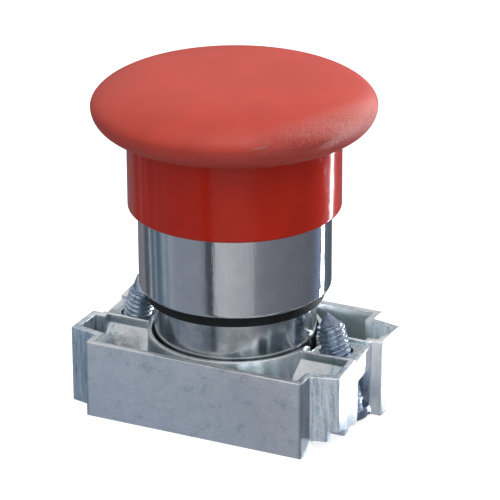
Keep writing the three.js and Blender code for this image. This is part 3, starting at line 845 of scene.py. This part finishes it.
def return_spring():
    """Helix whose pitch is one wire diameter over the closed end turns and opens smoothly between them.

    The height is the running sum of the pitch, stretched to the spring's length.
    """
    turns = np.linspace(0, 2 * DEAD_TURNS + LIVE_TURNS, 8 * 40 + 1)
    total = turns[-1]
    closed = 2 * COIL_WIRE + 0.03
    from_end = np.minimum(turns, total - turns)
    opening = np.clip((from_end - DEAD_TURNS * 0.75) / 0.5, 0, 1)
    opening = opening * opening * (3 - 2 * opening)
    height = SPRING_TOP - SPRING_Z - 2 * COIL_WIRE
    step = np.diff(turns, prepend=turns[0])
    flat, live = (closed * step * (1 - opening)).sum(), (step * opening).sum()
    pitch = closed * (1 - opening) + (height - flat) / live * opening
    z = SPRING_Z + COIL_WIRE + np.cumsum(pitch * step)
    a = turns * TAU
    piece = wire("coil_spring", np.stack([COIL_R * np.cos(a), COIL_R * np.sin(a), z], -1), COIL_WIRE)
    stands_for(piece, "return_spring")
    joints = frame["record"]["behaviour"]["joints"]
    press = next(joint for joint in joints if joint["name"] == "head_press")
    travel = press["range_m"][1] / MM
    length = SPRING_TOP - SPRING_Z
    (length - travel) / length
    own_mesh(piece)


return_spring()


def latch_hairpin():
    """Two straight legs joined by a half circle behind the stem, all at one height."""
    x, leg, bend_y = 3.55, -6.5, 0.6
    z = (LATCH_Z + LATCH_TOP) / 2
    straight = np.linspace(leg, bend_y, 12)[:-1]
    a = np.linspace(np.pi, 0, 33)
    xs = np.concatenate([np.full(11, -x), x * np.cos(a), np.full(11, x)])
    ys = np.concatenate([straight, bend_y + x * np.sin(a), straight[::-1]])
    return wire("hairpin_wire", np.stack([xs, ys, np.full(len(xs), z)], -1), 0.38)


stands_for(latch_hairpin(), "latch_spring")


# ---------------------------------------------------------------- turned and pressed inner pieces

BUSH_BORE = STEM_R + 0.15
BUSH_NECK = 4.9
STUD_R = 1.6
STUD_HOLE = STUD_R + 0.3

stands_for(turned("bush", rounded([
    (BUSH_BORE, BUSH_Z, 0.25), (BUSH_NECK, BUSH_Z, 0.3), (BUSH_NECK, BUSH_TOP - 1.0, 0.1),
    (BUSH_R, BUSH_TOP - 1.0, 0.15), (BUSH_R, BUSH_TOP, 0.25), (BUSH_BORE, BUSH_TOP, 0.25),
])), "guide_bush")

stands_for(turned("lip_seal", rounded([
    (BUSH_BORE, SEAL_Z, 0.15), (SEAL_R, SEAL_Z, 0.25), (SEAL_R, SEAL_TOP, 0.12),
    (SEAL_R - 0.6, SEAL_TOP, 0.12),
    (SEAL_R - 0.85, SEAL_Z + 0.8, 0.3), (BUSH_BORE + 0.85, SEAL_Z + 0.8, 0.3),
    (BUSH_BORE + 0.6, SEAL_TOP, 0.12),
    (BUSH_BORE, SEAL_TOP, 0.12),
])), "stem_seal")

stands_for(turned("seal_cap", rounded([
    (RETAINER_R - 0.6, RETAINER_Z, 0.1), (RETAINER_R, RETAINER_Z, 0.2), (RETAINER_R, RETAINER_TOP, 0.7),
    (STEM_R + 0.5, RETAINER_TOP, 0.15), (STEM_R + 0.5, RETAINER_TOP - 0.6, 0.1),
    (RETAINER_R - 0.6, RETAINER_TOP - 0.6, 0.3),
], 6)), "seal_retainer")

stands_for(turned("pressed_cup", rounded([
    (CUP_R - 0.5, CUP_Z, 0.1), (CUP_R, CUP_Z, 0.15), (CUP_R, CUP_TOP, 0.7), (STUD_HOLE, CUP_TOP, 0.1),
    (STUD_HOLE, CUP_TOP - 1.0, 0.1), (CUP_R - 0.5, CUP_TOP - 1.0, 0.3),
], 6)), "spring_cup")

stands_for(turned("flat_washer", rounded([
    (STUD_HOLE, WASHER_Z, 0.05), (WASHER_R, WASHER_Z, 0.12), (WASHER_R, WASHER_TOP, 0.18),
    (STUD_HOLE, WASHER_TOP, 0.1),
])), "stem_washer")

stands_for(turned("actuating_foot", rounded([
    (2.15, FOOT_Z, 0.15), (FOOT_R, FOOT_Z, 0.45), (FOOT_R, FOOT_Z + 1.6, 0.4), (4.2, FOOT_Z + 1.6, 0.35),
    (4.2, FOOT_TOP, 0.25), (2.15, FOOT_TOP, 0.15),
], 6)), "plunger_foot")


def knurl(angle, r, z):
    """Crossed shallow grooves round the insert's outside: the product of two opposite spirals."""
    cross = np.sin(24 * angle + 7 * z) * np.sin(24 * angle - 7 * z)
    ends = np.clip((z - BOSS_Z - 0.4) / 0.2, 0, 1) * np.clip((INSERT_TOP - 0.4 - z) / 0.2, 0, 1)
    return np.where(r > INSERT_R - 0.02, -0.11 * ends * (0.5 - 0.5 * cross), 0.0)


def insert_profile():
    """The insert's bore and ends, with a finely divided outside for its knurl."""
    outside = np.linspace(BOSS_Z + 0.2, INSERT_TOP - 0.2, 56)
    wall = np.stack([np.full(56, INSERT_R), outside], -1)
    edge = INSERT_R - 0.2
    ends = [[STUD_HOLE, BOSS_Z], [edge, BOSS_Z]], [[edge, INSERT_TOP], [STUD_HOLE, INSERT_TOP]]
    return np.vstack([ends[0], wall, ends[1]])


stands_for(turned("knurled_insert", insert_profile(), 240, knurl), "cap_insert")


def hexagon_nut(angle, r, z):
    """Six flats, with both ends of the corners turned down by a 30 degree chamfer."""
    sixth = TAU / 6
    flat = NUT_R / np.cos((angle + sixth / 2) % sixth - sixth / 2)
    chamfer = NUT_R + 0.05 + np.minimum(z - NUT_Z, NUT_TOP - z) / np.tan(np.radians(30))
    return np.where(r > NUT_R - 0.3, np.minimum(flat, chamfer) - r, 0.0)


stands_for(turned("lock_nut", np.array([
    [STUD_HOLE, NUT_Z + 0.2], [STUD_HOLE + 0.2, NUT_Z], [NUT_R - 0.1, NUT_Z], [NUT_R, NUT_Z + 0.08],
    [NUT_R, NUT_Z + 0.2], [NUT_R, NUT_Z + 0.35], [NUT_R, NUT_TOP - 0.35], [NUT_R, NUT_TOP - 0.2],
    [NUT_R, NUT_TOP - 0.08], [NUT_R - 0.1, NUT_TOP], [STUD_HOLE + 0.2, NUT_TOP], [STUD_HOLE, NUT_TOP - 0.2],
]), 120, hexagon_nut), "stem_nut")

SHOULDER_Z = CUP_TOP - 1.0 - 0.2
SPIGOT_R = 2.0


def stud_thread(angle, r, z):
    """The thread on the stem's stud, half a millimetre a turn, faded out at both ends."""
    fade = np.clip((z - SHOULDER_Z - 0.4) / 0.3, 0, 1) * np.clip((STEM_TOP - 0.3 - z) / 0.3, 0, 1)
    cut = thread(angle, z, 0.5, STUD_R - 0.26, STUD_R) - STUD_R
    return np.where((z > SHOULDER_Z + 0.3) & (r > STUD_R - 0.02), fade * cut, 0.0)


def stem_profile():
    """The stem from its lower end up: spigot with the clip's groove, shank with two latch grooves, stud."""
    low, mid = (LATCH_Z + LATCH_TOP) / 2, STEM_R - 0.45
    grooves = [corner for z in (low, low + 5.5) for corner in (
        (STEM_R, z - 0.7, 0.1), (mid, z - 0.4, 0.15), (mid, z + 0.4, 0.15), (STEM_R, z + 0.7, 0.1))]
    shank = rounded([
        (0.0, STEM_Z), (SPIGOT_R, STEM_Z, 0.3), (SPIGOT_R, CLIP_Z - 0.2, 0.05),
        (SPIGOT_R - 0.5, CLIP_Z - 0.2, 0.05), (SPIGOT_R - 0.5, CLIP_TOP + 0.2, 0.05),
        (SPIGOT_R, CLIP_TOP + 0.2, 0.05), (SPIGOT_R, FOOT_TOP + 0.3, 0.1),
        (STEM_R, FOOT_TOP + 0.3, 0.3), *grooves, (STEM_R, SHOULDER_Z, 0.25), (STUD_R, SHOULDER_Z, 0.1),
        (STUD_R, SHOULDER_Z + 0.3),
    ])
    z = np.arange(SHOULDER_Z + 0.35, STEM_TOP - 0.25, 0.5 / 9)
    stud = np.stack([np.full(len(z), STUD_R), z], -1)
    return np.vstack([shank, stud, [[STUD_R - 0.25, STEM_TOP], [0.0, STEM_TOP]]])


stands_for(turned_solid("stem", stem_profile(), 64, stud_thread), "plunger_stem")


# ---------------------------------------------------------------- floor, camera and studio

AZIMUTH, ELEVATION = np.radians(26.06), np.radians(22.23)
RIGHT = np.array([np.cos(AZIMUTH), np.sin(AZIMUTH), 0.0])
BACK = np.array([
    np.sin(AZIMUTH) * np.cos(ELEVATION), -np.cos(AZIMUTH) * np.cos(ELEVATION), np.sin(ELEVATION),
])
UP = np.cross(BACK, RIGHT)


def camera():
    """A long lens that looks down at the button from its front right."""
    lens = bpy.data.cameras.new("camera")
    lens.sensor_width = 36.0
    lens.lens = 216.2
    lens.clip_start, lens.clip_end = 0.05, 20.0
    holder = bpy.data.objects.new("camera", lens)
    roll = np.radians(0.25)
    x = RIGHT * np.cos(roll) - UP * np.sin(roll)
    y = UP * np.cos(roll) + RIGHT * np.sin(roll)
    place = (2.03 * RIGHT + 20.70 * UP + 417.65 * BACK) * MM
    matrix = np.eye(4)
    matrix[:3, 0], matrix[:3, 1], matrix[:3, 2], matrix[:3, 3] = x, y, BACK, place
    holder.matrix_world = Matrix(matrix.tolist())
    bpy.context.scene.collection.objects.link(holder)
    bpy.context.scene.camera = holder


camera()


def floor():
    """A white sweep that shows only a faint shadow, and that mirrors don't see."""
    bpy.ops.mesh.primitive_plane_add(size=6.0, location=(0, 0, COLLAR_Z * MM - 0.00002))
    sweep = bpy.context.object
    sweep.name = "floor"
    material = bpy.data.materials.new("white_sweep")
    material.use_nodes = True
    tree = Tree(material.node_tree)
    glow = tree.node("ShaderNodeEmission", None, {"Color": (1, 1, 1, 1), "Strength": 0.80})
    paint = tree.node("ShaderNodeBsdfDiffuse", None, {"Color": (0.55, 0.55, 0.56, 1)})
    both = tree.node("ShaderNodeAddShader", None, {0: glow, 1: paint})
    output = tree.tree.nodes.new("ShaderNodeOutputMaterial")
    tree.tree.links.new(both.socket, output.inputs["Surface"])
    sweep.data.materials.append(material)
    sweep.visible_glossy = False
    sweep.visible_diffuse = False
    sweep.visible_shadow = False


floor()

# Studio walls by direction, in degrees right of the camera: (direction, colour).
WALLS = [
    (-180, (0.07, 0.08, 0.09)), (-148, (0.14, 0.14, 0.15)), (-140, (0.16, 0.16, 0.17)),
    (-132, (0.06, 0.065, 0.08)), (-124, (0.08, 0.095, 0.115)), (-121, (0.30, 0.33, 0.37)),
    (-118, (0.10, 0.12, 0.15)), (-113, (0.06, 0.09, 0.12)), (-109, (0.22, 0.26, 0.30)),
    (-106, (0.06, 0.09, 0.13)), (-98, (0.10, 0.14, 0.18)), (-93, (0.25, 0.29, 0.33)),
    (-89, (0.13, 0.16, 0.20)), (-84, (0.23, 0.26, 0.30)), (-75, (0.185, 0.205, 0.245)),
    (-45, (0.19, 0.21, 0.245)), (-37, (0.165, 0.18, 0.21)), (-33.5, (0.055, 0.06, 0.075)),
    (-26, (0.05, 0.055, 0.07)), (-24, (0.36, 0.37, 0.39)), (-12, (0.37, 0.38, 0.395)),
    (8, (0.33, 0.34, 0.355)), (21, (0.27, 0.28, 0.30)), (25, (0.17, 0.175, 0.20)),
    (36, (0.145, 0.15, 0.17)), (70, (0.12, 0.125, 0.145)), (102, (0.10, 0.105, 0.125)),
    (110, (0.11, 0.125, 0.165)), (118, (0.16, 0.20, 0.29)), (127, (0.12, 0.155, 0.20)),
    (150, (0.06, 0.08, 0.095)), (179, (0.07, 0.08, 0.09)),
]


def studio():
    """Soft walls of different greys under a pale ceiling, an upright strip light, and two soft lights."""
    world = bpy.data.worlds.new("studio")
    bpy.context.scene.world = world
    world.use_nodes = True
    tree = Tree(world.node_tree)
    direction = tree.node("ShaderNodeTexCoord", output="Generated")
    x, y, z = (
        tree.node("ShaderNodeSeparateXYZ", None, {"Vector": direction}, output=axis) for axis in "XYZ"
    )
    front = float(np.arctan2(BACK[1], BACK[0]))
    turn = (y.math("ARCTAN2", x) - front) / TAU + 0.5
    turn = turn.math("FRACT")
    stops = [((degrees + 180) / 360, colour) for degrees, colour in WALLS]
    walls = tree.node("ShaderNodeValToRGB", {"stops": stops}, {"Fac": turn})
    ceiling = tree.mix(z.ramp(0.0, 0.38), walls, (0.40, 0.40, 0.40))
    output = tree.tree.nodes.new("ShaderNodeOutputWorld")
    background = tree.node("ShaderNodeBackground", None, {"Color": ceiling, "Strength": 1.75})
    tree.tree.links.new(background.socket, output.inputs["Surface"])
    soft_light("strip", 128.0, -9, 1.0, (0.024, 0.75), 7.0)
    soft_light("edge", 131.0, 20, 1.0, (0.12, 0.16), 4.0)
    soft_light("top", 25, 66, 0.9, (0.7, 0.7), 3.4)


def soft_light(name, degrees, height, distance, size, power):
    """A rectangular light facing the button, by its direction right of the camera and its height."""
    light = bpy.data.lights.new(name, "AREA")
    light.shape = "RECTANGLE"
    light.size, light.size_y = size
    light.energy = power
    holder = bpy.data.objects.new(name, light)
    flat = np.arctan2(BACK[1], BACK[0]) + np.radians(degrees)
    rise = np.radians(height)
    towards = Vector((np.cos(flat) * np.cos(rise), np.sin(flat) * np.cos(rise), np.sin(rise)))
    holder.location = towards * distance + Vector((0, 0, 0.02))
    holder.rotation_euler = towards.to_track_quat("Z", "Y").to_euler()
    holder.visible_camera = False
    bpy.context.scene.collection.objects.link(holder)


studio()
bpy.context.scene.view_settings.view_transform = "Standard"
